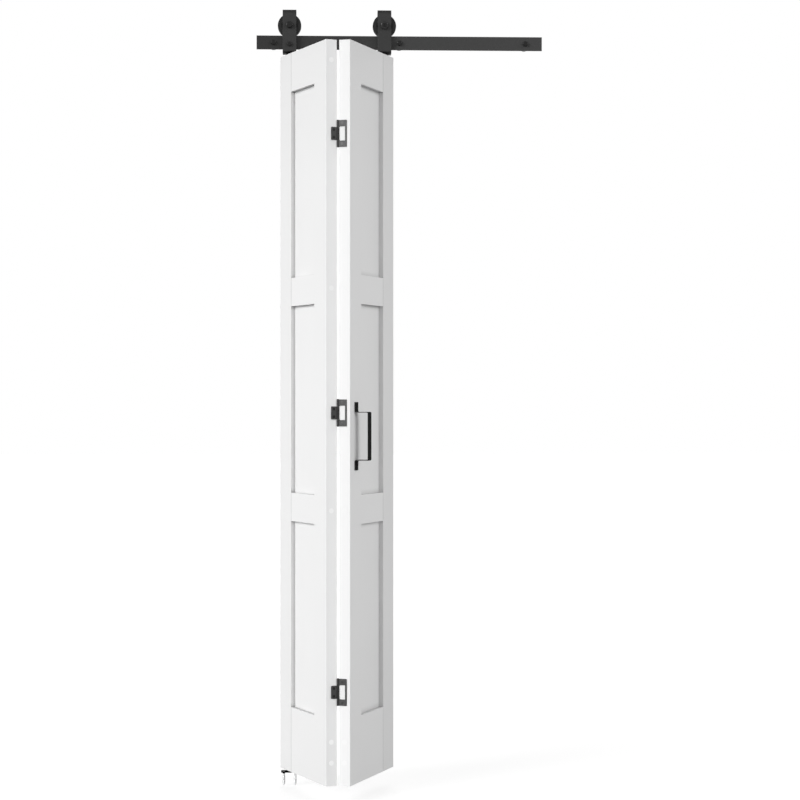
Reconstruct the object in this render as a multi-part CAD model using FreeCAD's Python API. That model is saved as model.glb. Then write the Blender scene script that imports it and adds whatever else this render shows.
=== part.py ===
import FreeCAD, Part
import math
import os

# Two-leaf bifold door on a flat wall track, shown half folded.
# Millimetres. X runs along the track, the wall is the plane Y = 0 with the room towards -Y,
# and Z is up. The origin is the centre of the middle spacer's back face.

Vector = FreeCAD.Vector

# Door leaves
leaf_height = 2134.0
leaf_width = 356.0
leaf_thickness = 34.0
stile_width = 88.0
top_rail_height = 115.0
middle_rail_height = 84.0
bottom_rail_height = 192.0
panel_thickness = 8.0
groove_depth = 9.0
groove_side_clearance = 0.15
panel_end_clearance = 1.0
tongue_end_clearance = 0.5
leaf_arris_radius = 1.5
rail_end_chamfer = 0.8
fold_half_angle = math.radians(22.4)

# Plugs over the joint bolts, in the long edges of the leaves
plug_radius = 7.2
plug_length = 6.0
plug_fit = 0.1
bottom_plug_spacing = 60.0

# Track, its wall spacers and bolts
track_length = 856.0
track_height = 41.0
track_thickness = 6.0
track_arris_radius = 0.4
track_bolt_margin = 50.0
track_bolt_count = 3
spacer_length = 41.5
spacer_radius = 15.5
spacer_arris = 0.8
track_bolt_radius = 4.0
track_bolt_fit = 0.2
track_bolt_flats = 13.0
track_bolt_head = 8.0

# Hangers: grooved wheel in a bent strap, foot under the track
strap_width = 41.0
strap_thickness = 6.0
strap_crown_radius = 8.0
strap_foot_radius = 3.0
strap_arris_radius = 0.4
strap_tail = 20.0
foot_reach = 20.0
foot_corner_radius = 2.0
foot_track_clearance = 7.0
crown_clearance = 6.6
wheel_radius = 35.0
wheel_tread_radius = 29.5
wheel_width = 20.0
wheel_rim_inner_radius = 22.6
wheel_web_width = 14.0
wheel_hub_radius = 11.0
wheel_lip_chamfer = 1.0
wheel_rim_chamfer = 0.8
groove_side_gap = 1.0
groove_flare = 1.5
wheel_seat_clearance = 0.05
wheel_strap_gap = 1.5
hub_side_clearance = 0.3
axle_radius = 6.0
axle_fit = 0.15
axle_flats = 17.0
axle_head = 10.0
axle_nut_flats = 20.5
axle_nut = 10.0
axle_nut_fit = 0.05
axle_end = 3.0
axle_end_chamfer = 1.0
axle_centre_radius = 1.8
axle_centre_depth = 1.6
lock_bolt_radius = 4.0
lock_bolt_flats = 12.0
lock_bolt_head = 6.5
lock_bolt_drop = 7.0
lock_bolt_track_clearance = 0.2

# Top pivots: a bolt through the strap's foot turns in a plate on the leaf
pivot_inset = 33.0
pivot_to_track_end = 98.5
pivot_gap = 6.5
pivot_radius = 5.0
pivot_fit = 0.15
pivot_collar_flats = 17.0
pivot_collar_clearance = 0.3
pivot_nut_height = 5.0
pivot_end = 0.8
pivot_head_radius = 8.5
pivot_head_height = 7.0
pivot_pocket_radius = 10.0
pivot_pocket_depth = 34.0
pivot_shank_below_plate = 18.0
top_plate_length = 50.0
top_plate_width = 24.0
top_plate_thickness = 3.0
top_plate_fit = 0.1
top_plate_hole_spacing = 35.0

# Bottom pivot of the left leaf and its floor bracket
floor_gap = 9.4
floor_plate_length = 50.0
floor_plate_width = 30.0
floor_plate_thickness = 3.0
floor_plate_corner = 5.0
floor_hole_spacing = 34.0
floor_socket_radius = 9.0
floor_socket_clearance = 0.5
bottom_pin_radius = 5.0
bottom_pin_fit = 0.3
bottom_pin_insert = 30.0
bottom_pin_flange_radius = 9.0
bottom_pin_flange = 2.0
bottom_pin_tip_gap = 0.5
wood_hole_fit = 0.1

# Hinges: the small plate folds into the window of the large one
hinge_end_distance = 268.0
hinge_plate_thickness = 2.0
hinge_flat_gap = 2.5
knuckle_standoff = 2.9
knuckle_radius = 3.5
knuckle_end_clearance = 0.3
hinge_pin_radius = 1.5
hinge_pin_fit = 0.1
hinge_pin_head_radius = 2.4
hinge_pin_head = 1.2
window_plate_height = 77.0
window_plate_reach = 26.6
window_height = 41.0
window_near_edge = 5.4
window_border = 4.9
small_plate_height = 37.2
small_plate_reach = 20.9
hinge_corner_radius = 2.0
hinge_screw_radius = 2.2
hinge_screw_head_radius = 4.0
window_screw_spacing = 59.4
window_screw_reach = 13.0
small_screw_spacing = 22.0
small_screw_reach = 12.8

# Pull handle of bent flat bar
handle_bar_width = 24.0
handle_bar_thickness = 2.5
handle_height = 196.0
handle_grip_height = 140.0
handle_clear_depth = 40.5
handle_bend_radius = 1.5
handle_inset = 45.7
handle_centre_height = 999.7
handle_hole_spacing = 171.0
handle_screw_radius = 2.2
handle_screw_head_radius = 4.0

screw_radius = 2.5
screw_head_radius = 4.6

# Hexagonal heads and nuts: the chamfer starts at a circle just inside the flats
hexagon_chamfer_share = 0.95
hexagon_chamfer_angle = math.radians(30)

# Places worked out from the sizes above
fold_degrees = math.degrees(fold_half_angle)
leaf_top_z = -track_height / 2 - foot_track_clearance - strap_thickness - pivot_gap
leaf_bottom_z = leaf_top_z - leaf_height
track_y = -spacer_length - track_thickness / 2
left_pivot_x = -track_length / 2 + pivot_to_track_end

edge_x = hinge_flat_gap / 2
back_y = knuckle_standoff
front_y = back_y + leaf_thickness
middle_y = back_y + leaf_thickness / 2
outer_x = edge_x + leaf_width
pivot_leaf_x = outer_x - pivot_inset

pivot_span_x = middle_y * math.cos(fold_half_angle) + pivot_leaf_x * math.sin(fold_half_angle)
pivot_span_y = pivot_leaf_x * math.cos(fold_half_angle) - middle_y * math.sin(fold_half_angle)
hinge_axis_x = left_pivot_x + pivot_span_x
hinge_axis_y = track_y - pivot_span_y
pivot_places = {"left": left_pivot_x, "right": left_pivot_x + 2 * pivot_span_x}

axle_z = track_height / 2 + wheel_tread_radius + wheel_seat_clearance
strap_inner_half = wheel_width / 2 + wheel_strap_gap
strap_crown_z = axle_z + wheel_radius + crown_clearance
foot_top_z = -track_height / 2 - foot_track_clearance
foot_under_z = foot_top_z - strap_thickness

panel_height = (
    leaf_height - top_rail_height - 2 * middle_rail_height - bottom_rail_height
) / 3
rail_spans = {}
rail_spans["bottom_rail"] = (0.0, bottom_rail_height)
lower_rail_z = bottom_rail_height + panel_height
rail_spans["lower_rail"] = (lower_rail_z, lower_rail_z + middle_rail_height)
upper_rail_z = lower_rail_z + middle_rail_height + panel_height
rail_spans["upper_rail"] = (upper_rail_z, upper_rail_z + middle_rail_height)
rail_spans["top_rail"] = (leaf_height - top_rail_height, leaf_height)
panel_spans = {
    "bottom_panel": (rail_spans["bottom_rail"][1], rail_spans["lower_rail"][0]),
    "middle_panel": (rail_spans["lower_rail"][1], rail_spans["upper_rail"][0]),
    "top_panel": (rail_spans["upper_rail"][1], rail_spans["top_rail"][0]),
}
hinge_heights = {
    "lower": hinge_end_distance,
    "middle": leaf_height / 2,
    "upper": leaf_height - hinge_end_distance,
}


# Small helpers

def box(low, high):
    size = [b - a for a, b in zip(low, high)]
    return Part.makeBox(size[0], size[1], size[2], Vector(*low))


def rod(radius, length, base, axis):
    return Part.makeCylinder(radius, length, Vector(*base), Vector(*axis))


def shifted(shape, x=0.0, y=0.0, z=0.0):
    copy = shape.copy()
    copy.translate(Vector(x, y, z))
    return copy


def hexagon_prism(flats, height, base, axis, quarter_turn=False):
    """Hexagonal prism whose far end has chamfered corners; two corners lie level unless turned."""
    corner_radius = flats / 2 / math.cos(math.pi / 6)
    first = math.pi / 2 if quarter_turn else 0.0
    corners = []
    for step in range(7):
        angle = first + math.pi / 3 * step
        corners.append(Vector(corner_radius * math.cos(angle), corner_radius * math.sin(angle), 0))
    prism = Part.Face(Part.makePolygon(corners)).extrude(Vector(0, 0, height))
    end_radius = flats / 2 * hexagon_chamfer_share
    foot_radius = end_radius + height / math.tan(hexagon_chamfer_angle)
    prism = prism.common(Part.makeCone(foot_radius, end_radius, height))
    prism.Placement = FreeCAD.Placement(
        Vector(*base), FreeCAD.Rotation(Vector(0, 0, 1), Vector(*axis))
    )
    return prism


def rounded_edges(points, radius, closed=False):
    """Edges of a polyline whose corners are tangent arcs of the given radius."""
    count = len(points)
    corners = range(count) if closed else range(1, count - 1)
    cuts = {}
    for index in corners:
        corner = points[index]
        before = (points[index - 1] - corner).normalize()
        after = (points[(index + 1) % count] - corner).normalize()
        turn = before.getAngle(after)
        reach = radius / math.tan(turn / 2)
        inward = (before + after).normalize()
        centre = corner + inward * (radius / math.sin(turn / 2))
        cuts[index] = (corner + before * reach, centre - inward * radius, corner + after * reach)
    edges = []
    last = count if closed else count - 1
    for index in range(last):
        following = (index + 1) % count
        start = cuts[index][2] if index in cuts else points[index]
        end = cuts[following][0] if following in cuts else points[following]
        if start.distanceToPoint(end) > 1e-6:
            edges.append(Part.makeLine(start, end))
        if following in cuts:
            first, middle, final = cuts[following]
            edges.append(Part.Arc(first, middle, final).toShape())
    return edges


def bent_strip(points, bend_radius, thickness, width, across):
    """Flat bar bent along the points of its inner face and widened about them."""
    path = Part.Wire(rounded_edges(points, bend_radius))
    profile = path.makeOffset2D(thickness, 0, True, True, False)
    profile.translate(across * (-width / 2))
    return profile.extrude(across * width)


def edges_at(shape, test):
    return [edge for edge in shape.Edges if all(test(vertex.Point) for vertex in edge.Vertexes)]


def countersunk_hole(radius, head_radius, depth, base, axis):
    """Cutting tool: a through hole with a cone that opens to head_radius at its base."""
    hole = rod(radius, depth, base, axis)
    cone = Part.makeCone(head_radius, radius, head_radius - radius, Vector(*base), Vector(*axis))
    return hole.fuse(cone)


# Door leaf, in its own frame: the hinge axis is Z, X runs into the leaf from its hinge edge,
# Y from its back face to its front face, and Z = 0 is the leaf's bottom

def place_on_leaf(shape, side):
    placed = shape.copy()
    placed.rotate(Vector(0, 0, 0), Vector(0, 0, 1), 90 + fold_degrees)
    placed.translate(Vector(hinge_axis_x, hinge_axis_y, leaf_bottom_z))
    if side == "right":
        placed = placed.mirror(Vector(hinge_axis_x, 0, 0), Vector(1, 0, 0))
    return placed


def plug_heights():
    heights = []
    for name, (low, high) in rail_spans.items():
        centre = (low + high) / 2
        if name == "bottom_rail":
            heights.append(centre - bottom_plug_spacing / 2)
            heights.append(centre + bottom_plug_spacing / 2)
        else:
            heights.append(centre)
    return heights


def groove_tool(low, high):
    """Slot for panels and tongues, centred in the leaf's thickness."""
    half = panel_thickness / 2 + groove_side_clearance
    return box((low[0], middle_y - half, low[1]), (high[0], middle_y + half, high[1]))


def hinge_stile():
    inner_x = edge_x + stile_width
    stile = box((edge_x, back_y, 0), (inner_x, front_y, leaf_height))
    arrises = edges_at(stile, lambda point: abs(point.x - edge_x) < 1e-6)
    arrises = [edge for edge in arrises if edge.Length > leaf_height - 1]
    stile = stile.makeFillet(leaf_arris_radius, arrises)
    stile = stile.cut(groove_tool((inner_x - groove_depth, 0), (inner_x, leaf_height)))
    for height in plug_heights():
        base = (edge_x, middle_y, height)
        stile = stile.cut(rod(plug_radius + plug_fit, plug_length, base, (1, 0, 0)))
    return stile


def rounded_plate(length, width, fit):
    """Plate with half round ends, let into the leaf's top about the pivot."""
    straight = (length - width) / 2
    half = width / 2 + fit
    base = Vector(pivot_leaf_x, middle_y, leaf_height - top_plate_thickness)
    plate = box(
        (base.x - straight, base.y - half, base.z),
        (base.x + straight, base.y + half, base.z + top_plate_thickness),
    )
    for direction in (-1, 1):
        centre = (base.x + direction * straight, base.y, base.z)
        plate = plate.fuse(rod(half, top_plate_thickness, centre, (0, 0, 1)))
    return plate.removeSplitter()


def outer_stile(side):
    inner_x = outer_x - stile_width
    stile = box((inner_x, back_y, 0), (outer_x, front_y, leaf_height))
    arrises = edges_at(stile, lambda point: abs(point.x - outer_x) < 1e-6)
    arrises = [edge for edge in arrises if edge.Length > leaf_height - 1]
    stile = stile.makeFillet(leaf_arris_radius, arrises)
    stile = stile.cut(groove_tool((inner_x, 0), (inner_x + groove_depth, leaf_height)))
    for height in plug_heights():
        base = (outer_x, middle_y, height)
        stile = stile.cut(rod(plug_radius + plug_fit, plug_length, base, (-1, 0, 0)))
    stile = stile.cut(rounded_plate(top_plate_length, top_plate_width, top_plate_fit))
    pocket_base = (pivot_leaf_x, middle_y, leaf_height)
    stile = stile.cut(rod(pivot_pocket_radius, pivot_pocket_depth, pocket_base, (0, 0, -1)))
    if side == "left":
        pin_hole = rod(
            bottom_pin_radius + wood_hole_fit, bottom_pin_insert, (pivot_leaf_x, middle_y, 0), (0, 0, 1)
        )
        stile = stile.cut(pin_hole)
    return stile


def door_rail(name):
    low, high = rail_spans[name]
    left_x = edge_x + stile_width
    right_x = outer_x - stile_width
    rail = box((left_x, back_y, low), (right_x, front_y, high))
    joint_edges = edges_at(rail, lambda point: abs(point.x - right_x) < 1e-6)
    joint_edges = [edge for edge in joint_edges if edge.BoundBox.ZLength > rail_end_chamfer]
    rail = rail.makeChamfer(rail_end_chamfer, joint_edges)
    tongue = groove_depth - tongue_end_clearance
    half = panel_thickness / 2
    rail = rail.fuse(box((left_x - tongue, middle_y - half, low), (right_x + tongue, middle_y + half, high)))
    reach = 2 * groove_depth
    if name != "bottom_rail":
        rail = rail.cut(groove_tool((left_x - reach, low), (right_x + reach, low + groove_depth)))
    if name != "top_rail":
        rail = rail.cut(groove_tool((left_x - reach, high - groove_depth), (right_x + reach, high)))
    return rail.removeSplitter()


def door_panel(name):
    low, high = panel_spans[name]
    lap = groove_depth - panel_end_clearance
    half = panel_thickness / 2
    return box(
        (edge_x + stile_width - lap, middle_y - half, low - lap),
        (outer_x - stile_width + lap, middle_y + half, high + lap),
    )


def leaf_plugs():
    plugs = []
    for height in plug_heights():
        plugs.append(rod(plug_radius, plug_length, (edge_x, middle_y, height), (1, 0, 0)))
        plugs.append(rod(plug_radius, plug_length, (outer_x, middle_y, height), (-1, 0, 0)))
    return plugs


# Hinges, in the leaf's frame about the hinge axis

def hinge_plate(height, reach, screw_reach, screw_spacing):
    low_x = edge_x - hinge_plate_thickness
    plate = box((low_x, 0, -height / 2), (edge_x, reach, height / 2))
    corners = edges_at(plate, lambda point: abs(point.y - reach) < 1e-6)
    corners = [edge for edge in corners if abs(edge.Length - hinge_plate_thickness) < 1e-6]
    plate = plate.makeFillet(hinge_corner_radius, corners)
    plate = plate.fuse(rod(knuckle_radius, height, (0, 0, -height / 2), (0, 0, 1)))
    for place in (-screw_spacing / 2, screw_spacing / 2):
        tool = countersunk_hole(
            hinge_screw_radius,
            hinge_screw_head_radius,
            hinge_plate_thickness,
            (low_x, screw_reach, place),
            (1, 0, 0),
        )
        plate = plate.cut(tool)
    pin_hole = rod(hinge_pin_radius + hinge_pin_fit, height, (0, 0, -height / 2), (0, 0, 1))
    return plate.cut(pin_hole)


def hinge_window_plate():
    plate = hinge_plate(window_plate_height, window_plate_reach, window_screw_reach, window_screw_spacing)
    window = box(
        (edge_x - hinge_plate_thickness, window_near_edge, -window_height / 2),
        (edge_x, window_plate_reach - window_border, window_height / 2),
    )
    half = small_plate_height / 2 + knuckle_end_clearance
    knuckle_gap = box(
        (-knuckle_radius, -knuckle_radius, -half),
        (knuckle_radius, window_near_edge, half),
    )
    return plate.cut(window).cut(knuckle_gap).removeSplitter()


def hinge_small_plate():
    return hinge_plate(small_plate_height, small_plate_reach, small_screw_reach, small_screw_spacing)


def hinge_pin():
    half = window_plate_height / 2
    pin = rod(hinge_pin_radius, 2 * half, (0, 0, -half), (0, 0, 1))
    for direction in (-1, 1):
        base = Vector(0, 0, direction * half)
        head = Part.makeCone(
            hinge_pin_head_radius, hinge_pin_radius, hinge_pin_head, base, Vector(0, 0, direction)
        )
        pin = pin.fuse(head)
    return pin


# Track with its spacers and bolts

def track_bolt_places():
    span = track_length - 2 * track_bolt_margin
    first = -span / 2
    return [first + span * index / (track_bolt_count - 1) for index in range(track_bolt_count)]


def track_bar():
    back = -spacer_length
    front = back - track_thickness
    bar = box(
        (-track_length / 2, front, -track_height / 2),
        (track_length / 2, back, track_height / 2),
    )
    arrises = [edge for edge in bar.Edges if abs(edge.Length - track_length) < 1e-6]
    bar = bar.makeFillet(track_arris_radius, arrises)
    for place in track_bolt_places():
        hole = rod(track_bolt_radius + track_bolt_fit, track_thickness, (place, front, 0), (0, 1, 0))
        bar = bar.cut(hole)
    return bar


def track_spacer(place):
    spacer = rod(spacer_radius, spacer_length, (place, -spacer_length, 0), (0, 1, 0))
    rims = [edge for edge in spacer.Edges if abs(edge.Length - 2 * math.pi * spacer_radius) < 1e-3]
    spacer = spacer.makeChamfer(spacer_arris, rims)
    bore = rod(track_bolt_radius + track_bolt_fit, spacer_length, (place, -spacer_length, 0), (0, 1, 0))
    return spacer.cut(bore)


def track_bolt(place):
    front = -spacer_length - track_thickness
    head = hexagon_prism(track_bolt_flats, track_bolt_head, (place, front, 0), (0, -1, 0))
    shank = rod(track_bolt_radius, -front, (place, front, 0), (0, 1, 0))
    return head.fuse(shank)


# Hangers, about the pivot's vertical line: X = 0 and Y = 0 at the middle of the track's thickness

def hanger_strap(side):
    half = strap_inner_half
    tail_z = axle_z - strap_tail
    inner_face = [
        Vector(0, half, tail_z),
        Vector(0, half, strap_crown_z),
        Vector(0, -half, strap_crown_z),
        Vector(0, -half, foot_top_z),
        Vector(0, foot_reach, foot_top_z),
    ]
    upper = bent_strip(
        inner_face[:3] + [Vector(0, -half, 0)],
        strap_crown_radius, strap_thickness, strap_width, Vector(1, 0, 0),
    )
    lower = bent_strip(
        [Vector(0, -half, 0)] + inner_face[3:],
        strap_foot_radius, strap_thickness, strap_width, Vector(1, 0, 0),
    )
    strap = upper.fuse(lower).removeSplitter()
    side_edges = edges_at(strap, lambda point: abs(abs(point.x) - strap_width / 2) < 1e-6)
    side_edges = [edge for edge in side_edges if edge.BoundBox.XLength < 1e-6]
    strap = strap.makeFillet(strap_arris_radius, side_edges)

    # The tail behind the wheel ends in a half round about the axle
    tail_cut = box(
        (-strap_width, half - 1, tail_z - 1),
        (strap_width, half + strap_thickness + 1, axle_z),
    )
    tail_round = rod(strap_width / 2, strap_thickness + 2, (0, half - 1, axle_z), (0, 1, 0))
    strap = strap.cut(tail_cut.cut(tail_round))

    corner_low = (-strap_width, foot_reach - foot_corner_radius, foot_under_z - 1)
    corner_high = (strap_width, foot_reach + 1, foot_top_z + 1)
    corner_trim = box(corner_low, corner_high)
    for direction in (-1, 1):
        centre_x = direction * (strap_width / 2 - foot_corner_radius)
        centre = (centre_x, foot_reach - foot_corner_radius, foot_under_z - 1)
        corner_trim = corner_trim.cut(rod(foot_corner_radius, strap_thickness + 2, centre, (0, 0, 1)))
    inner = strap_width / 2 - foot_corner_radius
    corner_trim = corner_trim.cut(box((-inner, -1, foot_under_z - 1), (inner, foot_reach, foot_top_z + 1)))
    strap = strap.cut(corner_trim)

    reach = half + strap_thickness
    strap = strap.cut(rod(axle_radius + axle_fit, 2 * reach, (0, -reach, axle_z), (0, 1, 0)))
    strap = strap.cut(rod(pivot_radius + pivot_fit, strap_thickness, (0, 0, foot_under_z), (0, 0, 1)))
    if side == "left":
        lock_base = (0, -reach, -lock_bolt_drop)
        strap = strap.cut(rod(lock_bolt_radius + axle_fit, strap_thickness, lock_base, (0, 1, 0)))
    return strap


def is_rim(edge, radius, half_width):
    """Whether an edge is the circle of the given radius on one of the wheel's outer faces."""
    level = abs(abs(edge.BoundBox.Center.y) - half_width) < 1e-6 and edge.BoundBox.YLength < 1e-3
    return level and abs(edge.Length - 2 * math.pi * radius) < 1e-3


def grooved_wheel():
    """Wheel turned about its axle, with a flared groove that straddles the track."""
    hub_half = strap_inner_half - hub_side_clearance
    rim_half = wheel_width / 2
    web_half = wheel_web_width / 2
    tread_half = track_thickness / 2 + groove_side_gap
    mouth_half = tread_half + groove_flare
    bore = axle_radius + axle_fit
    half_outline = [
        (wheel_tread_radius, tread_half),
        (wheel_radius, mouth_half),
        (wheel_radius, rim_half),
        (wheel_rim_inner_radius, rim_half),
        (wheel_rim_inner_radius, web_half),
        (wheel_hub_radius, web_half),
        (wheel_hub_radius, hub_half),
        (bore, hub_half),
    ]
    outline = half_outline + [(radius, -place) for radius, place in reversed(half_outline)]
    corners = [Vector(0, place, radius) for radius, place in outline]
    face = Part.Face(Part.makePolygon(corners + corners[:1]))
    wheel = face.revolve(Vector(0, 0, 0), Vector(0, 1, 0), 360)
    for radius, chamfer in ((wheel_radius, wheel_lip_chamfer), (wheel_rim_inner_radius, wheel_rim_chamfer)):
        rims = [edge for edge in wheel.Edges if is_rim(edge, radius, rim_half)]
        wheel = wheel.makeChamfer(chamfer, rims)
    wheel.translate(Vector(0, 0, axle_z))
    return wheel


def axle_bolt(front):
    """Bolt with its head on the given side: front = -1 in the room, +1 at the wall."""
    reach = strap_inner_half + strap_thickness
    head = hexagon_prism(axle_flats, axle_head, (0, front * reach, axle_z), (0, front, 0))
    length = 2 * reach + axle_nut + axle_end
    shank = rod(axle_radius, length, (0, front * reach, axle_z), (0, -front, 0))
    tip_y = front * (reach - length)
    tip = edges_at(shank, lambda point: abs(point.y - tip_y) < 1e-6)
    shank = shank.makeChamfer(axle_end_chamfer, tip)
    centre = Part.makeCone(
        axle_centre_radius, 0, axle_centre_depth, Vector(0, tip_y, axle_z), Vector(0, front, 0)
    )
    return head.fuse(shank).cut(centre)


def axle_nut_at(front):
    """Nut on the side away from the bolt's head."""
    reach = strap_inner_half + strap_thickness
    nut = hexagon_prism(axle_nut_flats, axle_nut, (0, -front * reach, axle_z), (0, -front, 0), True)
    bore = rod(axle_radius + axle_nut_fit, axle_nut, (0, -front * reach, axle_z), (0, -front, 0))
    return nut.cut(bore)


def lock_bolt():
    reach = strap_inner_half + strap_thickness
    head = hexagon_prism(lock_bolt_flats, lock_bolt_head, (0, -reach, -lock_bolt_drop), (0, -1, 0))
    length = reach - track_thickness / 2 - lock_bolt_track_clearance
    shank = rod(lock_bolt_radius, length, (0, -reach, -lock_bolt_drop), (0, 1, 0))
    return head.fuse(shank)


def pivot_bolt():
    """Bolt held in the strap's foot by a nut above it and a collar below, its head under the plate."""
    collar_bottom = leaf_top_z + pivot_collar_clearance
    collar = hexagon_prism(
        pivot_collar_flats, foot_under_z - collar_bottom, (0, 0, foot_under_z), (0, 0, -1)
    )
    nut = hexagon_prism(pivot_collar_flats, pivot_nut_height, (0, 0, foot_top_z), (0, 0, 1))
    shank_bottom = leaf_top_z - top_plate_thickness - pivot_shank_below_plate
    shank_top = foot_top_z + pivot_nut_height + pivot_end
    shank = rod(pivot_radius, shank_top - shank_bottom, (0, 0, shank_bottom), (0, 0, 1))
    head_top = leaf_top_z - top_plate_thickness - pivot_collar_clearance
    head = rod(pivot_head_radius, pivot_head_height, (0, 0, head_top - pivot_head_height), (0, 0, 1))
    return collar.fuse(shank).fuse(nut).fuse(head).removeSplitter()


def top_plate():
    """Bearing plate let into the leaf's top, in the leaf's frame."""
    plate = rounded_plate(top_plate_length, top_plate_width, 0.0)
    bore_base = (pivot_leaf_x, middle_y, leaf_height)
    plate = plate.cut(rod(pivot_radius + pivot_fit, top_plate_thickness, bore_base, (0, 0, -1)))
    for direction in (-1, 1):
        top = (pivot_leaf_x + direction * top_plate_hole_spacing / 2, middle_y, leaf_height)
        tool = countersunk_hole(screw_radius, screw_head_radius, top_plate_thickness, top, (0, 0, -1))
        plate = plate.cut(tool)
    return plate


# Bottom pivot

def bottom_pivot_pin():
    """Pin in the left leaf's bottom, about the pivot line."""
    flange_bottom = leaf_bottom_z - bottom_pin_flange
    tip = leaf_bottom_z - floor_gap + bottom_pin_tip_gap
    pin = rod(bottom_pin_radius, leaf_bottom_z + bottom_pin_insert - tip, (0, 0, tip), (0, 0, 1))
    flange = rod(bottom_pin_flange_radius, bottom_pin_flange, (0, 0, flange_bottom), (0, 0, 1))
    return pin.fuse(flange).removeSplitter()


def floor_bracket():
    """Plate on the floor with a raised socket for the pin."""
    under = leaf_bottom_z - floor_gap
    plate = box(
        (-floor_plate_length / 2, -floor_plate_width / 2, under),
        (floor_plate_length / 2, floor_plate_width / 2, under + floor_plate_thickness),
    )
    corners = [edge for edge in plate.Edges if abs(edge.Length - floor_plate_thickness) < 1e-6]
    plate = plate.makeFillet(floor_plate_corner, corners)
    socket_top = leaf_bottom_z - bottom_pin_flange - floor_socket_clearance
    socket = rod(floor_socket_radius, socket_top - under, (0, 0, under), (0, 0, 1))
    bracket = plate.fuse(socket).removeSplitter()
    bore = rod(bottom_pin_radius + bottom_pin_fit, socket_top - under, (0, 0, under), (0, 0, 1))
    bracket = bracket.cut(bore)
    for direction in (-1, 1):
        top = (direction * floor_hole_spacing / 2, 0, under + floor_plate_thickness)
        tool = countersunk_hole(screw_radius, screw_head_radius, floor_plate_thickness, top, (0, 0, -1))
        bracket = bracket.cut(tool)
    return bracket


# Pull handle, in the leaf's frame on the middle of its hinge stile

def pull_handle():
    """Flat bar bent four times, about its own middle height, with a screw hole in each foot."""
    centre_x = edge_x + handle_inset
    foot_end = handle_height / 2
    arm_outer = handle_grip_height / 2
    seat_y = front_y + handle_bar_thickness
    grip_y = seat_y + handle_clear_depth
    bar = bent_strip(
        [
            Vector(centre_x, seat_y, -foot_end),
            Vector(centre_x, seat_y, -arm_outer),
            Vector(centre_x, grip_y, -arm_outer),
            Vector(centre_x, grip_y, arm_outer),
            Vector(centre_x, seat_y, arm_outer),
            Vector(centre_x, seat_y, foot_end),
        ],
        handle_bend_radius + handle_bar_thickness,
        -handle_bar_thickness,
        handle_bar_width,
        Vector(1, 0, 0),
    )
    for direction in (-1, 1):
        bar = bar.cut(
            countersunk_hole(
                handle_screw_radius,
                handle_screw_head_radius,
                handle_bar_thickness,
                (centre_x, seat_y, direction * handle_hole_spacing / 2),
                (0, -1, 0),
            )
        )
    return bar


def export(name, shape):
    shape.exportStep(os.path.join("parts", name + ".step"))


def build():
    os.makedirs("parts", exist_ok=True)

    plugs = []
    for side in ("left", "right"):
        export(side + "_hinge_stile", place_on_leaf(hinge_stile(), side))
        export(side + "_outer_stile", place_on_leaf(outer_stile(side), side))
        for name in rail_spans:
            export(side + "_" + name, place_on_leaf(door_rail(name), side))
        for name in panel_spans:
            export(side + "_" + name, place_on_leaf(door_panel(name), side))
        export(side + "_top_plate", place_on_leaf(top_plate(), side))
        plugs.extend(place_on_leaf(plug, side) for plug in leaf_plugs())
    export("edge_plugs", Part.makeCompound(plugs))

    pins = []
    for name, height in hinge_heights.items():
        window_plate = shifted(hinge_window_plate(), z=height)
        small_plate = shifted(hinge_small_plate(), z=height)
        export(name + "_hinge_window_plate", place_on_leaf(window_plate, "right"))
        export(name + "_hinge_small_plate", place_on_leaf(small_plate, "left"))
        pins.append(place_on_leaf(shifted(hinge_pin(), z=height), "left"))
    export("hinge_pins", Part.makeCompound(pins))

    export("track_bar", track_bar())
    export("track_spacers", Part.makeCompound([track_spacer(place) for place in track_bolt_places()]))
    export("track_bolts", Part.makeCompound([track_bolt(place) for place in track_bolt_places()]))

    head_sides = {"left": -1, "right": 1}
    for side, place in pivot_places.items():
        pieces = {
            "hanger_strap": hanger_strap(side),
            "wheel": grooved_wheel(),
            "axle_bolt": axle_bolt(head_sides[side]),
            "axle_nut": axle_nut_at(head_sides[side]),
            "pivot_bolt": pivot_bolt(),
        }
        if side == "left":
            pieces["lock_bolt"] = lock_bolt()
        for name, shape in pieces.items():
            export(side + "_" + name, shifted(shape, x=place, y=track_y))

    export("bottom_pivot_pin", shifted(bottom_pivot_pin(), x=left_pivot_x, y=track_y))
    export("floor_bracket", shifted(floor_bracket(), x=left_pivot_x, y=track_y))
    export("pull_handle", place_on_leaf(shifted(pull_handle(), z=handle_centre_height), "right"))


build()
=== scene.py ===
import bpy
import math
from mathutils import Matrix, Vector


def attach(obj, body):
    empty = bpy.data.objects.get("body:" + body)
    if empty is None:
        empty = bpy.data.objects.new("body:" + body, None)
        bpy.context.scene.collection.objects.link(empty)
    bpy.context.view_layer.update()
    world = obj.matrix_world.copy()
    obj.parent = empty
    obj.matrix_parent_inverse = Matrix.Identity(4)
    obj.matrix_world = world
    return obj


# Looks of a half folded two-leaf bifold door on a flat wall track.
# Metres, in the part's frame: X along the track, the wall at Y = 0, the room towards -Y, Z up.

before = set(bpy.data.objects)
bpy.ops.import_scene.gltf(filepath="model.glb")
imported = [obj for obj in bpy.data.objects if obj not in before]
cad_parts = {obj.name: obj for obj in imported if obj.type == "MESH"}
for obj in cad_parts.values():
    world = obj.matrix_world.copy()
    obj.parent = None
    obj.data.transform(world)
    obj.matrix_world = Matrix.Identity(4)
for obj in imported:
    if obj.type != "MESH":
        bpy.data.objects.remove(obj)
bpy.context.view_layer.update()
MM = 0.001

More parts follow.
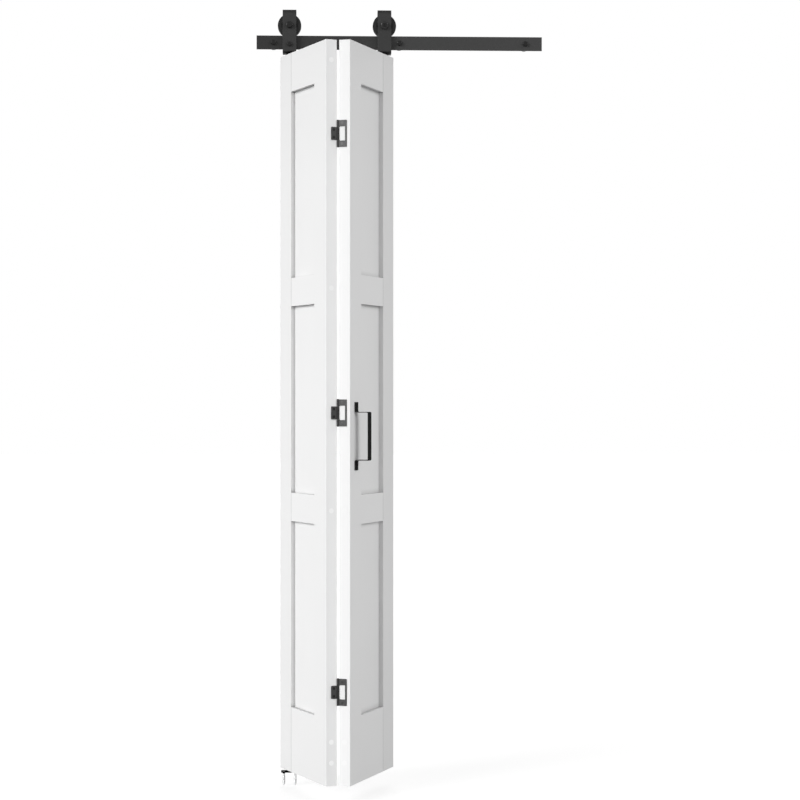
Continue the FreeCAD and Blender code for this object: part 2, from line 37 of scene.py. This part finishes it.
# Places that the part's own sizes give
FOLD = math.radians(22.4)
PIVOT_X = -329.5 * MM
TRACK_Y = -44.5 * MM
TRACK_SHADE_END = 430.0 * MM
EDGE_X = 1.25 * MM
STILE = 88.0 * MM
LEAF_WIDTH = 356.0 * MM
PIVOT_LEAF_X = EDGE_X + LEAF_WIDTH - 33.0 * MM
MIDDLE_Y = (2.9 + 17.0) * MM
FRONT_Y = (2.9 + 34.0) * MM
LEAF_TOP = -40.0 * MM
LEAF_HEIGHT = 2134.0 * MM
LEAF_BOTTOM = LEAF_TOP - LEAF_HEIGHT
HINGE_HEIGHTS = (268.0 * MM, 1067.0 * MM, 1866.0 * MM)
HANDLE_X = EDGE_X + 45.7 * MM
HANDLE_HEIGHT = 999.7 * MM
BRACKET_TOP = LEAF_BOTTOM - 6.4 * MM
SCREW_TIP = -2224.0 * MM

HINGE_X = PIVOT_X + MIDDLE_Y * math.cos(FOLD) + PIVOT_LEAF_X * math.sin(FOLD)
HINGE_Y = TRACK_Y - PIVOT_LEAF_X * math.cos(FOLD) + MIDDLE_Y * math.sin(FOLD)
JOINT_X = EDGE_X + LEAF_WIDTH - STILE
HINGE_REACH = 10.0 * MM
STRAP_BEND = -26.5 * MM
HANDLE_BAR = 24.0 * MM
HANDLE_THICK = 2.5 * MM
HANDLE_STAND_OFF = 40.5 * MM
HANDLE_SCREW = 85.5 * MM
HINGE_PLATE = 2.0 * MM
WINDOW_SCREW_REACH = 13.0 * MM
WINDOW_SCREW_SPACING = 59.4 * MM
SMALL_SCREW_REACH = 12.8 * MM
SMALL_SCREW_SPACING = 22.0 * MM
TOP_PLATE_SCREW = 17.5 * MM
FLOOR_SCREW = 17.0 * MM
SUNK = 0.1 * MM

# Painted shade: how the paint's level is darkened from a leaf's bottom to its top for the light on that leaf,
# as shares of its height
LEAF_PAINTED_SHADE = {
    "left": [(0.0, 0.975), (0.2, 0.992), (0.52, 1.0), (0.82, 0.98), (0.97, 0.94), (1.0, 0.935)],
    "right": [(0.0, 0.935), (0.05, 0.94), (0.21, 0.982), (0.6, 1.0), (0.82, 0.995), (0.98, 0.977)],
}


def leaf_matrix(side):
    """From a leaf's own frame, as in the part's source, to the shared frame."""
    turn = Matrix.Rotation(math.radians(90.0) + FOLD, 4, "Z")
    if side == "right":
        turn = Matrix.Scale(-1.0, 4, (1, 0, 0)) @ turn
    return Matrix.Translation((HINGE_X, HINGE_Y, LEAF_BOTTOM)) @ turn


# Materials

class Nodes:
    """Short calls for a material's node tree."""

    def __init__(self, name):
        self.material = bpy.data.materials.new(name)
        self.material.use_nodes = True
        self.tree = self.material.node_tree
        self.tree.nodes.clear()
        self.shader = self.add("ShaderNodeBsdfPrincipled")
        output = self.add("ShaderNodeOutputMaterial")
        self.link(self.shader.outputs["BSDF"], output.inputs["Surface"])

    def add(self, kind, **values):
        node = self.tree.nodes.new(kind)
        for key, value in values.items():
            setattr(node, key, value)
        return node

    def link(self, source, target):
        self.tree.links.new(source, target)

    def place(self, side=None):
        """Position in the shared frame, or in the frame of the leaf on the given side."""
        coordinates = self.add("ShaderNodeTexCoord")
        if side is None:
            return coordinates.outputs["Object"]
        turn = -math.radians(90.0) - FOLD
        flip = -1.0 if side == "right" else 1.0
        origin = Matrix.Rotation(turn, 3, "Z") @ Vector((flip * HINGE_X, HINGE_Y, LEAF_BOTTOM))
        mapping = self.add("ShaderNodeMapping")
        mapping.inputs["Scale"].default_value = (flip, 1.0, 1.0)
        mapping.inputs["Rotation"].default_value = (0.0, 0.0, turn)
        mapping.inputs["Location"].default_value = -origin
        self.link(coordinates.outputs["Object"], mapping.inputs["Vector"])
        return mapping.outputs["Vector"]

    def part(self, vector, axis):
        node = self.add("ShaderNodeSeparateXYZ")
        self.link(vector, node.inputs[0])
        return node.outputs[axis]

    def stretched(self, vector, scale):
        mapping = self.add("ShaderNodeMapping")
        mapping.inputs["Scale"].default_value = scale
        self.link(vector, mapping.inputs["Vector"])
        return mapping.outputs["Vector"]

    def noise(self, vector, scale, detail=2.0, roughness=0.5):
        node = self.add("ShaderNodeTexNoise")
        node.inputs["Scale"].default_value = scale
        node.inputs["Detail"].default_value = detail
        node.inputs["Roughness"].default_value = roughness
        self.link(vector, node.inputs["Vector"])
        return node.outputs["Fac"]

    def span(self, value, low, high, from_low=0.3, from_high=0.7):
        node = self.add("ShaderNodeMapRange")
        node.inputs["From Min"].default_value = from_low
        node.inputs["From Max"].default_value = from_high
        node.inputs["To Min"].default_value = low
        node.inputs["To Max"].default_value = high
        self.link(value, node.inputs["Value"])
        return node.outputs["Result"]

    def ramp(self, value, stops):
        node = self.add("ShaderNodeValToRGB")
        elements = node.color_ramp.elements
        while len(elements) < len(stops):
            elements.new(0.5)
        for element, (position, colour) in zip(elements, stops):
            element.position = position
            element.color = (*colour, 1.0)
        self.link(value, node.inputs["Fac"])
        return node.outputs["Color"]

    def bump(self, height, strength, distance, previous=None):
        node = self.add("ShaderNodeBump")
        node.inputs["Strength"].default_value = strength
        node.inputs["Distance"].default_value = distance
        self.link(height, node.inputs["Height"])
        if previous is not None:
            self.link(previous, node.inputs["Normal"])
        return node.outputs["Normal"]

    def beside_hinge(self, place, stops):
        """Level by the distance from the hinge axis, over HINGE_REACH."""
        offset = self.add("ShaderNodeVectorMath", operation="SUBTRACT")
        offset.inputs[1].default_value = (HINGE_X, HINGE_Y, 0.0)
        self.link(place, offset.inputs[0])
        level = self.add("ShaderNodeVectorMath", operation="MULTIPLY")
        level.inputs[1].default_value = (1.0, 1.0, 0.0)
        self.link(offset.outputs["Vector"], level.inputs[0])
        length = self.add("ShaderNodeVectorMath", operation="LENGTH")
        self.link(level.outputs["Vector"], length.inputs[0])
        share = self.span(length.outputs["Value"], 0.0, 1.0, 0.0, HINGE_REACH)
        return self.ramp(share, [(stop, grey(value)) for stop, value in stops])

    def blended(self, amount, share):
        """The share where amount is 0, and 1 where it is 1."""
        node = self.add("ShaderNodeMapRange")
        node.inputs["From Min"].default_value = 0.0
        node.inputs["From Max"].default_value = 1.0
        node.inputs["To Max"].default_value = 1.0
        self.link(amount, node.inputs["Value"])
        self.link(share, node.inputs["To Min"])
        return node.outputs["Result"]

    def painted_crevice_shade(self, distance, low, gamma=1.0):
        """Painted shade: 1 in the open, down to low where the surface closes in on itself or a neighbour."""
        node = self.add("ShaderNodeAmbientOcclusion", samples=8)
        node.inputs["Distance"].default_value = distance
        curve = self.add("ShaderNodeMath", operation="POWER")
        self.link(node.outputs["AO"], curve.inputs[0])
        curve.inputs[1].default_value = gamma
        return self.span(curve.outputs[0], low, 1.0, 0.0, 1.0)

    def scaled(self, colour, factor):
        node = self.add("ShaderNodeVectorMath", operation="SCALE")
        self.link(colour, node.inputs[0])
        self.link(factor, node.inputs["Scale"])
        return node.outputs["Vector"]

    def finish(self, colour, roughness, normal, metallic=0.0, specular=0.5):
        self.link(colour, self.shader.inputs["Base Color"])
        self.link(roughness, self.shader.inputs["Roughness"])
        self.link(normal, self.shader.inputs["Normal"])
        self.shader.inputs["Metallic"].default_value = metallic
        self.shader.inputs["Specular IOR Level"].default_value = specular
        return self.material


def grey(level, warmth=0.0):
    return (level * (1.0 + warmth), level, level * (1.0 - warmth))


def paint(
    name, side, along, level, specular=0.3, hollow_shade=None, line=False,
    right_painted_shade=None, edge_light_and_shade=None, foot_painted_light=None,
):
    """Sprayed satin paint over wood: faint grain along the board, fine orange peel.

    hollow gives the reach and depth of painted shade in corners, line draws the joint beside the
    outer stile, right_painted_shade is the level's painted shade to the right of the hinge axis,
    edge_light_and_shade lists its painted light and shade on the hinge edge by height, and foot_painted_light
    is its painted light at the leaf's foot.
    """
    nodes = Nodes(name)
    place = nodes.place(side)
    grain_scale = (1.0, 1.0, 0.04) if along == "Z" else (0.04, 1.0, 1.0)
    grain = nodes.noise(nodes.stretched(place, grain_scale), 260.0, 4.0, 0.6)
    peel = nodes.noise(place, 700.0, 2.0)
    cloud = nodes.noise(place, 5.0, 3.0)
    colour = nodes.ramp(cloud, [(0.3, grey(level * 0.995)), (0.7, grey(level * 1.005))])
    # Painted shade: the level darkens towards the leaf's foot and top by the listed shares
    if side is not None:
        share = nodes.span(nodes.part(place, "Z"), 0.0, 1.0, 0.0, LEAF_HEIGHT)
        drift_shade = nodes.ramp(share, [(stop, grey(value)) for stop, value in LEAF_PAINTED_SHADE[side]])
        colour = nodes.scaled(colour, drift_shade)
    if line:
        joint = nodes.span(nodes.part(place, "X"), 1.0, 0.3, JOINT_X - 1.7 * MM, JOINT_X - 1.2 * MM)
        colour = nodes.scaled(colour, joint)
    # Painted light and shade on the hinge edge, by height
    if edge_light_and_shade is not None:
        height = nodes.span(nodes.part(place, "Z"), 0.0, 1.0, 0.0, LEAF_HEIGHT)
        rise = nodes.ramp(height, [(stop, grey(value)) for stop, value in edge_light_and_shade])
        inward = nodes.span(nodes.part(place, "X"), 0.0, 1.0, EDGE_X + 0.3 * MM, EDGE_X + 0.6 * MM)
        colour = nodes.scaled(colour, nodes.blended(inward, rise))
    # Painted shade to the right of the hinge axis
    if right_painted_shade is not None:
        share = nodes.span(nodes.part(place, "X"), 1.0, right_painted_shade, HINGE_X - 1.0 * MM, HINGE_X + 1.0 * MM)
        colour = nodes.scaled(colour, share)
    # Painted light towards the leaf's foot
    if foot_painted_light is not None:
        rise = nodes.span(nodes.part(place, "Z"), foot_painted_light, 1.0, LEAF_BOTTOM, LEAF_BOTTOM + LEAF_HEIGHT)
        colour = nodes.scaled(colour, rise)
    # Painted shade in corners
    if hollow_shade is not None:
        colour = nodes.scaled(colour, nodes.painted_crevice_shade(*hollow_shade))
    roughness = nodes.span(peel, 0.42, 0.52)
    normal = nodes.bump(grain, 0.05, 0.0004)
    normal = nodes.bump(peel, 0.05, 0.0002, normal)
    return nodes.finish(colour, roughness, normal, specular=specular)


def painted_shade_by_hinge(stops, low=1.0, high=1.0):
    """Painted shade and light: share of a level by the distance from the hinge axis, and from the lowest to
    the top hinge.
    """

    def share(nodes):
        place = nodes.place()
        bottom, top = LEAF_BOTTOM + HINGE_HEIGHTS[0], LEAF_BOTTOM + HINGE_HEIGHTS[-1]
        rise = nodes.span(nodes.part(place, "Z"), low, high, bottom, top)
        return nodes.scaled(nodes.beside_hinge(place, stops), rise)

    return share


def painted_shade_along_track(stops):
    """Painted shade: share of a level along the track, darkest at its left end near the leaves."""

    def share(nodes):
        along = nodes.span(nodes.part(nodes.place(), "X"), 0.0, 1.0, -TRACK_SHADE_END, TRACK_SHADE_END)
        return nodes.ramp(along, [(stop, grey(value)) for stop, value in stops])

    return share


def strap_foot_painted_shade(nodes):
    """Painted shade: a tenth of the level below the strap's bend."""
    return nodes.span(nodes.part(nodes.place(), "Z"), 0.1, 1.0, STRAP_BEND - 2.0 * MM, STRAP_BEND)


def handle_edge_painted_highlight(nodes):
    """Painted highlight: paler edges of the handle's two posts towards the hinges."""
    place = nodes.place("right")
    rim = HANDLE_X - HANDLE_BAR / 2
    edge = nodes.span(nodes.part(place, "X"), 6.5, 1.0, rim + 0.2 * MM, rim + 0.5 * MM)
    middle = nodes.add("ShaderNodeMath", operation="SUBTRACT")
    middle.inputs[1].default_value = FRONT_Y + HANDLE_STAND_OFF / 2
    nodes.link(nodes.part(place, "Y"), middle.inputs[0])
    away = nodes.add("ShaderNodeMath", operation="ABSOLUTE")
    nodes.link(middle.outputs["Value"], away.inputs[0])
    half = HANDLE_STAND_OFF / 2
    return nodes.blended(nodes.span(away.outputs["Value"], 0.0, 1.0, half - 3.0 * MM, half - 1.5 * MM), edge)


def powder_coat(name, level, specular, grain_scale=1500.0, gloss=(0.5, 0.62), reach=5.0, share=None):
    """Fine textured black powder coat on steel.

    reach is the distance in millimetres within which other faces add painted shade to inside corners, and
    share gives the level's share by place, which carries the painted shade and highlights of some parts.
    """
    nodes = Nodes(name)
    place = nodes.place()
    grain = nodes.noise(place, grain_scale, 3.0, 0.65)
    cloud = nodes.noise(place, 35.0, 3.0)
    colour = nodes.ramp(
        grain, [(0.32, grey(level * 0.75, 0.02)), (0.5, grey(level)), (0.7, grey(level * 1.35, -0.01))]
    )
    if share is not None:
        colour = nodes.scaled(colour, share(nodes))
    # Painted shade: darkened where other faces close in within reach
    colour = nodes.scaled(colour, nodes.painted_crevice_shade(reach * MM, 0.4))
    roughness = nodes.span(cloud, gloss[0], gloss[1])
    normal = nodes.bump(grain, 0.25, 0.00012)
    return nodes.finish(colour, roughness, normal, specular=specular)


def zinc(name):
    """Bright zinc plating with a faint cloudy bloom."""
    nodes = Nodes(name)
    place = nodes.place()
    cloud = nodes.noise(place, 400.0, 3.0)
    fine = nodes.noise(place, 2600.0, 2.0)
    colour = nodes.ramp(cloud, [(0.35, (0.84, 0.85, 0.86)), (0.65, (0.93, 0.93, 0.92))])
    roughness = nodes.span(cloud, 0.24, 0.36)
    normal = nodes.bump(fine, 0.1, 0.00005)
    return nodes.finish(colour, roughness, normal, metallic=0.7)


WHITE = 0.84
paints = {}
# Painted light and shade: each leaf has its own copy of the paints for how the light falls on it; the outer
# stile is darkened by outer_stile_shade, the hinge edge is lightened and darkened by height, and panels,
# outer stile and rails get painted shade in their corners, to a reach and depth set per side
for side, outer_stile_shade, edge_light_and_shade, stile_hollow_shade, hollow_shade, rail_hollow_shade in (
    ("left", 0.98, [(0.0, 1.01), (1.0, 1.01)], 0.32, (6.0 * MM, 0.7), 0.05),
    ("right", 0.95, [(0.0, 1.065), (0.05, 1.055), (0.21, 0.995), (1.0, 0.95)], 0.84, (16.0 * MM, 0.52), 0.42),
):
    paints[side] = {
        "hinge_stile": paint("paint_" + side + "_hinge_stile", side, "Z", WHITE, edge_light_and_shade=edge_light_and_shade),
        "outer_stile": paint(
            "paint_" + side + "_outer_stile", side, "Z", WHITE * outer_stile_shade, hollow_shade=(14.0 * MM, stile_hollow_shade)
        ),
        "panel": paint("paint_" + side + "_panels", side, "Z", WHITE, hollow_shade=hollow_shade),
        "rail": paint("paint_" + side + "_rails", side, "X", WHITE, hollow_shade=(16.0 * MM, rail_hollow_shade), line=True),
    }
# Painted shade and light: the plugs are darkened right of the hinge axis and lightened towards the leaves'
# foot
plug_plastic = paint("paint_plugs", None, "Z", WHITE * 1.03, 0.3, right_painted_shade=0.91, foot_painted_light=1.09)
# Painted shade: the track is darkened towards its left end, near the leaves
track_black = powder_coat(
    "powder_track", 0.031, 0.36, gloss=(0.4, 0.5),
    share=painted_shade_along_track([(0.0, 0.42), (0.35, 0.52), (0.5, 0.95), (1.0, 1.0)]),
)
# Painted shade under the strap's bend
strap_black = powder_coat("powder_strap", 0.022, 0.34, gloss=(0.38, 0.48), reach=9.0, share=strap_foot_painted_shade)
bolt_black = powder_coat("powder_bolts", 0.006, 0.28, gloss=(0.28, 0.4))
nut_black = powder_coat("powder_nut", 0.016, 0.34, gloss=(0.32, 0.42))
wheel_black = powder_coat("moulded_wheel", 0.012, 0.25, 900.0, (0.4, 0.5))
# Painted shade: the knuckle near the hinge axis is darkened, and the plate is darker towards the lowest hinge
window_black = powder_coat(
    "hinge_window", 0.115, 0.15, gloss=(0.4, 0.5),
    share=painted_shade_by_hinge([(0.0, 0.46), (0.355, 0.46), (0.375, 1.0)], 0.59, 0.92),
)
# Painted shade: a dark band in the seam beside the knuckle, about 3.5 to 4.7 mm from the hinge axis
small_black = powder_coat(
    "hinge_small", 0.050, 0.15, gloss=(0.4, 0.5),
    share=painted_shade_by_hinge([(0.0, 1.0), (0.34, 1.0), (0.35, 0.4), (0.47, 0.4), (0.48, 1.0)]),
)
pin_black = powder_coat("hinge_pin", 0.010, 0.15, gloss=(0.35, 0.45))
# Painted highlight on the handle posts' edges towards the hinges
handle_black = powder_coat("powder_handle", 0.022, 0.0, gloss=(0.45, 0.55), share=handle_edge_painted_highlight)
# Painted shade and light: the window plates' screws are darker towards the lowest hinge and paler at the top
# one
screw_black = powder_coat(
    "screw_black", 0.13, 0.3, 2600.0, (0.3, 0.42), share=painted_shade_by_hinge([(0.0, 1.0), (1.0, 1.0)], 0.3, 1.1)
)
bracket_black = powder_coat("powder_bracket", 0.006, 0.0)
zinc_plate = zinc("zinc_screws")


def dress(node, material):
    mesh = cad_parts[node].data
    mesh.materials.clear()
    mesh.materials.append(material)


for side in ("left", "right"):
    for name in ("hinge_stile", "outer_stile"):
        dress(side + "_" + name, paints[side][name])
    for name in ("top_panel", "middle_panel", "bottom_panel"):
        dress(side + "_" + name, paints[side]["panel"])
    for name in ("top_rail", "upper_rail", "lower_rail", "bottom_rail"):
        dress(side + "_" + name, paints[side]["rail"])
    dress(side + "_hanger_strap", strap_black)
    dress(side + "_wheel", wheel_black)
    dress(side + "_axle_bolt", bolt_black)
    dress(side + "_axle_nut", nut_black)
    dress(side + "_pivot_bolt", bolt_black)
    dress(side + "_top_plate", track_black)
for name in ("upper", "middle", "lower"):
    dress(name + "_hinge_window_plate", window_black)
    dress(name + "_hinge_small_plate", small_black)
dress("edge_plugs", plug_plastic)
dress("left_lock_bolt", bolt_black)
dress("track_bar", track_black)
dress("track_spacers", track_black)
dress("track_bolts", bolt_black)
dress("hinge_pins", pin_black)
dress("bottom_pivot_pin", bolt_black)
dress("floor_bracket", bracket_black)
dress("pull_handle", handle_black)


# Small fasteners

def turned_piece(name, rings, segments, material):
    """Closed mesh about its own +Z from rings of (radius function, height function) by angle."""
    points = []
    for radius, height in rings:
        for step in range(segments):
            angle = 2.0 * math.pi * step / segments
            reach = radius(angle)
            points.append((reach * math.cos(angle), reach * math.sin(angle), height(reach, angle)))
    faces = []
    for ring in range(len(rings) - 1):
        for step in range(segments):
            following = (step + 1) % segments
            low = ring * segments
            high = low + segments
            faces.append((low + step, high + step, high + following, low + following))
    faces.append(tuple(range(segments)))
    last = (len(rings) - 1) * segments
    faces.append(tuple(last + step for step in reversed(range(segments))))
    mesh = bpy.data.meshes.new(name)
    mesh.from_pydata(points, [], faces)
    mesh.update()
    for face in mesh.polygons:
        face.use_smooth = True
    mesh.materials.append(material)
    piece = bpy.data.objects.new(name, mesh)
    bpy.context.scene.collection.objects.link(piece)
    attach(piece, "root")
    return piece


def stand_on(piece, point, axis, turn=0.0):
    """Puts a turned piece's origin at the point with its +Z along the axis."""
    spin = Vector(axis).to_track_quat("Z", "Y").to_matrix().to_4x4()
    world = Matrix.Translation(point) @ spin @ Matrix.Rotation(turn, 4, "Z")
    piece.data.transform(world)
    piece.data.update()


def cross_depth(x, y, arm, width, depth):
    """Depth of a cross recess whose arms narrow towards their ends."""
    best = 0.0
    for along, across in ((abs(x), abs(y)), (abs(y), abs(x))):
        if along < arm:
            half = width * (1.0 - 0.35 * along / arm)
            side = min(1.0, max(0.0, (half - across) / (0.3 * half)))
            slope = min(1.0, (arm - along) / (0.45 * arm))
            best = max(best, depth * side * slope)
    return best


def screw_rings(head, neck, crown, seat, shank_end, recess):
    """Rings of a cross recessed screw from its crown to its shank's end; the head's rim is at Z = 0."""
    rings = []
    steps = 15
    for step in range(1, steps + 1):
        reach = head * step / steps

        def height(radius, angle):
            x = radius * math.cos(angle)
            y = radius * math.sin(angle)
            dome = crown * (1.0 - (radius / head) ** 2)
            return dome - cross_depth(x, y, recess[0], recess[1], recess[2])

        rings.append((lambda angle, reach=reach: reach, height))
    outline = ((head, -0.12 * MM), (neck, -seat), (neck, -shank_end + neck), (0.25 * neck, -shank_end))
    for reach, level in outline:
        rings.append((lambda angle, reach=reach: reach, lambda radius, angle, level=level: level))
    return rings


hinge_screw = screw_rings(3.9 * MM, 2.1 * MM, 0.35 * MM, 1.8 * MM, 18.0 * MM, (2.2 * MM, 0.55 * MM, 1.3 * MM))
plate_screw = screw_rings(4.5 * MM, 2.4 * MM, 0.4 * MM, 2.1 * MM, 24.0 * MM, (2.6 * MM, 0.62 * MM, 1.6 * MM))


def leaf_screw(name, rings, side, point, direction, material, turn):
    matrix = leaf_matrix(side)
    piece = turned_piece(name, rings, 48, material)
    stand_on(piece, matrix @ Vector(point), matrix.to_3x3() @ Vector(direction), turn)
    return piece


hinge_face = EDGE_X - HINGE_PLATE
for index, height in enumerate(HINGE_HEIGHTS):
    plates = (
        ("window", "right", WINDOW_SCREW_REACH, WINDOW_SCREW_SPACING / 2),
        ("small", "left", SMALL_SCREW_REACH, SMALL_SCREW_SPACING / 2),
    )
    for plate, side, reach, half in plates:
        for place, offset in (("low", -half), ("high", half)):
            leaf_screw(
                "hinge_screw_" + plate + "_" + str(index + 1) + "_" + place,
                hinge_screw, side, (hinge_face + SUNK, reach, height + offset), (-1, 0, 0),
                screw_black if plate == "window" else pin_black,
                0.4 * index + 0.9 * offset / half,
            )

for side in ("left", "right"):
    for place, offset in (("outer", TOP_PLATE_SCREW), ("inner", -TOP_PLATE_SCREW)):
        leaf_screw(
            "top_plate_screw_" + side + "_" + place, plate_screw, side,
            (PIVOT_LEAF_X + offset, MIDDLE_Y, LEAF_HEIGHT - 0.45 * MM), (0, 0, 1),
            bolt_black, 0.5 + 20.0 * offset,
        )

for place, offset in (("low", -HANDLE_SCREW), ("high", HANDLE_SCREW)):
    leaf_screw(
        "handle_screw_" + place, hinge_screw, "right",
        (HANDLE_X, FRONT_Y + HANDLE_THICK - SUNK, HANDLE_HEIGHT + offset), (0, 1, 0),
        handle_black, 0.3,
    )

# Zinc plated floor screws: flat head in the bracket, plain shank, coarse thread, point
core = 3.7 * MM
crest = 4.7 * MM
pitch = 3.2 * MM
thread_start = 12.5 * MM
screw_length = BRACKET_TOP - SCREW_TIP
floor_screw = screw_rings(
    4.5 * MM, 2.4 * MM, 0.3 * MM, 2.2 * MM, thread_start, (2.6 * MM, 0.62 * MM, 1.6 * MM)
)[:-2]
thread_rings = 84
for step in range(thread_rings + 1):
    share = step / thread_rings
    level = thread_start + (screw_length - thread_start) * share
    taper = min(1.0, (1.0 - share) / 0.22)
    growth = min(1.0, share / 0.05)

    def radius(angle, level=level, taper=taper, growth=growth):
        turn = (level / pitch + angle / (2.0 * math.pi)) % 1.0
        ridge = max(0.0, 1.0 - abs(turn - 0.5) / 0.28)
        return (core + (crest - core) * ridge * growth) * max(0.05, taper)

    floor_screw.append((radius, lambda reach, angle, level=level: -level))
# Black bush under the plate about each screw
bush_profile = (
    (2.45, -0.6), (2.5, -0.6), (2.5, 0.1), (4.9, 0.1), (4.7, 1.0), (3.1, 4.6), (2.5, 4.8), (2.45, 4.8)
)
bush_rings = [
    (lambda angle, reach=reach * MM: reach, lambda radius, angle, level=level * MM: level)
    for reach, level in bush_profile
]
for place, offset in (("left", -FLOOR_SCREW), ("right", FLOOR_SCREW)):
    piece = turned_piece("floor_screw_" + place, floor_screw, 40, zinc_plate)
    stand_on(piece, (PIVOT_X + offset, TRACK_Y, BRACKET_TOP - SUNK), (0, 0, 1), 0.6)
    bush = turned_piece("floor_bush_" + place, bush_rings, 32, bracket_black)
    stand_on(bush, (PIVOT_X + offset, TRACK_Y, BRACKET_TOP - 3.0 * MM), (0, 0, -1))


# Camera, fitted to the leaves' and track's corners in an 800 x 800 frame
FRAME_PIXELS = 800.0
FOCAL_PIXELS = 2146.34
HORIZON_PIXEL = 401.14
SENSOR = 36.0
camera_data = bpy.data.cameras.new("camera")
camera_data.sensor_fit = "HORIZONTAL"
camera_data.sensor_width = SENSOR
camera_data.lens = FOCAL_PIXELS / FRAME_PIXELS * SENSOR
camera_data.shift_y = (HORIZON_PIXEL - FRAME_PIXELS / 2) / FRAME_PIXELS
camera = bpy.data.objects.new("camera", camera_data)
camera.location = (-0.2501, -6.4794, -1.0735)
camera.rotation_euler = (math.radians(90.0), 0.0, -0.03907)
bpy.context.scene.collection.objects.link(camera)
bpy.context.scene.camera = camera

# Light: a studio that is white behind the object and dims overhead, a soft key from the front left,
# a weaker fill from the right, and a soft light from behind for the back
def light_path_share(tree, outputs):
    """1 for a ray of any of the given kinds, else 0."""
    path = tree.nodes.new("ShaderNodeLightPath")
    share = path.outputs[outputs[0]]
    for name in outputs[1:]:
        either = tree.nodes.new("ShaderNodeMath")
        either.operation = "MAXIMUM"
        tree.links.new(share, either.inputs[0])
        tree.links.new(path.outputs[name], either.inputs[1])
        share = either.outputs[0]
    return share


AMBIENT = 0.30
CEILING = 0.15
world = bpy.data.worlds.new("studio")
bpy.context.scene.world = world
world.use_nodes = True
tree = world.node_tree
tree.nodes.clear()
soft = tree.nodes.new("ShaderNodeBackground")
soft.inputs["Color"].default_value = (1.0, 1.0, 1.0, 1.0)
soft.inputs["Strength"].default_value = AMBIENT
white = tree.nodes.new("ShaderNodeBackground")
white.inputs["Color"].default_value = (1.0, 1.0, 1.0, 1.0)
direction = tree.nodes.new("ShaderNodeTexCoord")
parts = tree.nodes.new("ShaderNodeSeparateXYZ")
tree.links.new(direction.outputs["Generated"], parts.inputs[0])
dim = tree.nodes.new("ShaderNodeMapRange")
dim.inputs["From Min"].default_value = 0.2
dim.inputs["From Max"].default_value = 0.7
dim.inputs["To Min"].default_value = 1.0
dim.inputs["To Max"].default_value = CEILING
tree.links.new(parts.outputs["Z"], dim.inputs["Value"])
brightest = tree.nodes.new("ShaderNodeMath")
brightest.operation = "MAXIMUM"
tree.links.new(dim.outputs["Result"], brightest.inputs[0])
tree.links.new(light_path_share(tree, ("Is Camera Ray", "Is Transmission Ray")), brightest.inputs[1])
tree.links.new(brightest.outputs[0], white.inputs["Strength"])
mixed = tree.nodes.new("ShaderNodeMixShader")
sky = tree.nodes.new("ShaderNodeOutputWorld")
seen = light_path_share(tree, ("Is Camera Ray", "Is Glossy Ray", "Is Transmission Ray"))
tree.links.new(seen, mixed.inputs["Fac"])
tree.links.new(soft.outputs[0], mixed.inputs[1])
tree.links.new(white.outputs[0], mixed.inputs[2])
tree.links.new(mixed.outputs[0], sky.inputs["Surface"])


def soft_light(name, side_degrees, height_degrees, strength, spread_degrees, glossy=True):
    """Sun whose light comes from side_degrees right of the viewer and height_degrees up."""
    data = bpy.data.lights.new(name, "SUN")
    data.energy = strength
    data.angle = math.radians(spread_degrees)
    lamp = bpy.data.objects.new(name, data)
    side_angle = math.radians(side_degrees)
    rise = math.radians(height_degrees)
    source = Vector((
        math.sin(side_angle) * math.cos(rise), -math.cos(side_angle) * math.cos(rise), math.sin(rise)
    ))
    lamp.rotation_euler = source.to_track_quat("Z", "Y").to_euler()
    lamp.visible_glossy = glossy
    bpy.context.scene.collection.objects.link(lamp)


soft_light("key", -50.5, 20.0, 2.62, 30.0)
soft_light("fill", 56.0, 21.0, 1.285, 36.0)
soft_light("back", 170.0, 35.0, 1.3, 40.0, glossy=False)

# Floor at the screws' tips, white to the camera with the object's shadow kept, and paler than its
# own grey in reflections
FLOOR_GLOW = 0.72
FLOOR_MIRRORED = 0.45
floor_mesh = bpy.data.meshes.new("floor")
reach = 40.0
floor_mesh.from_pydata(
    [(-reach, -reach, 0), (reach, -reach, 0), (reach, reach, 0), (-reach, reach, 0)], [], [(0, 1, 2, 3)]
)
floor = bpy.data.objects.new("floor", floor_mesh)
floor.location = (0.0, 0.0, SCREW_TIP - 0.5 * MM)
bpy.context.scene.collection.objects.link(floor)
floor_material = bpy.data.materials.new("floor")
floor_material.use_nodes = True
tree = floor_material.node_tree
tree.nodes.clear()
plain = tree.nodes.new("ShaderNodeBsdfDiffuse")
plain.inputs["Color"].default_value = (0.35, 0.35, 0.35, 1.0)
glow = tree.nodes.new("ShaderNodeEmission")
glow.inputs["Color"].default_value = (1.0, 1.0, 1.0, 1.0)
share = tree.nodes.new("ShaderNodeMath")
share.operation = "MULTIPLY"
share.inputs[1].default_value = FLOOR_GLOW
mirrored = tree.nodes.new("ShaderNodeMath")
mirrored.operation = "MULTIPLY"
mirrored.inputs[1].default_value = FLOOR_MIRRORED
glowing = tree.nodes.new("ShaderNodeMath")
glowing.operation = "ADD"
both = tree.nodes.new("ShaderNodeAddShader")
output = tree.nodes.new("ShaderNodeOutputMaterial")
tree.links.new(light_path_share(tree, ("Is Camera Ray", "Is Transmission Ray")), share.inputs[0])
tree.links.new(light_path_share(tree, ("Is Glossy Ray",)), mirrored.inputs[0])
tree.links.new(share.outputs[0], glowing.inputs[0])
tree.links.new(mirrored.outputs[0], glowing.inputs[1])
tree.links.new(glowing.outputs[0], glow.inputs["Strength"])
tree.links.new(plain.outputs[0], both.inputs[0])
tree.links.new(glow.outputs[0], both.inputs[1])
tree.links.new(both.outputs[0], output.inputs["Surface"])
floor_mesh.materials.append(floor_material)

scene = bpy.context.scene
scene.view_settings.view_transform = "Standard"
